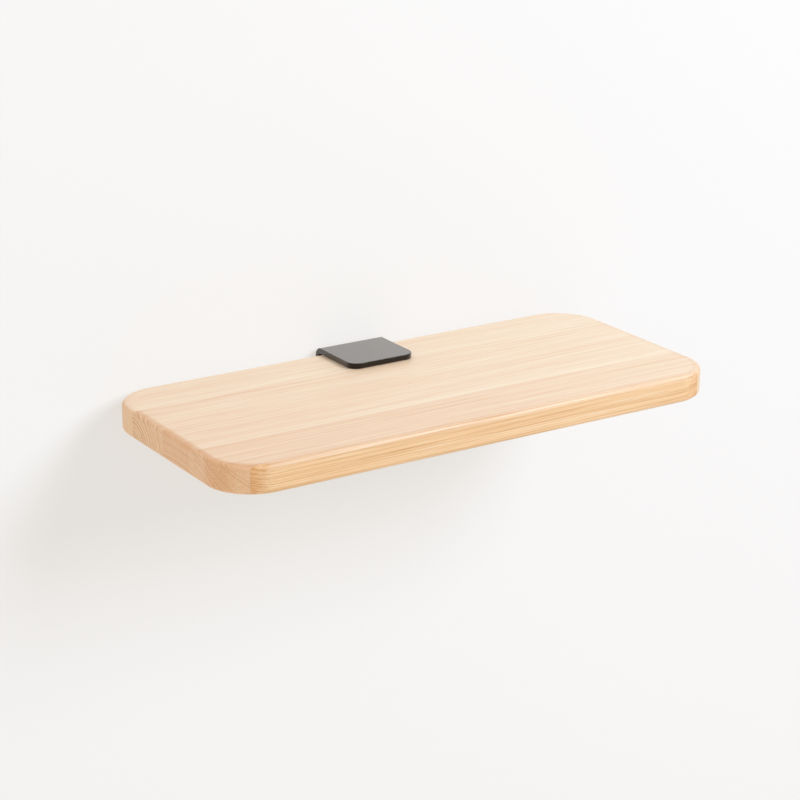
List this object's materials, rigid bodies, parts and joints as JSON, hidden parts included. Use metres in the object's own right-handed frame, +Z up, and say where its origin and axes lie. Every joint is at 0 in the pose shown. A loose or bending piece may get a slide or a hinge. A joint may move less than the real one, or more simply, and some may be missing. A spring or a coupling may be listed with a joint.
{
  "type": "bracket shelf",
  "caption": "Small wall shelf: an edge-glued hardwood board with rounded corners, gripped at the middle of its back edge by a folded black steel bracket that screws to the wall.",
  "frame": {"origin": "middle of the bracket's back face, on the wall", "axes": "+X along the shelf, to the right as seen from the room; +Y into the wall; +Z up"},
  "size_m": [0.4, 0.2272, 0.0286],
  "materials": {
    "stave_1": "clear satin oil",
    "stave_2": "clear satin oil",
    "stave_3": "clear satin oil",
    "stave_4": "clear satin oil",
    "stave_5": "clear satin oil",
    "powder_coat": "satin black powder coat",
    "zinc": "bright zinc plate"
  },
  "bodies": {
    "root": {"stave_1": "stave_1", "stave_2": "stave_2", "stave_3": "stave_3", "stave_4": "stave_4", "stave_5": "stave_5", "bracket": "powder_coat", "wall_screw_left": "zinc", "wall_screw_right": "zinc", "shelf_screw_1": "zinc", "shelf_screw_2": "zinc", "shelf_screw_3": "zinc"}
  },
  "joints": []
}
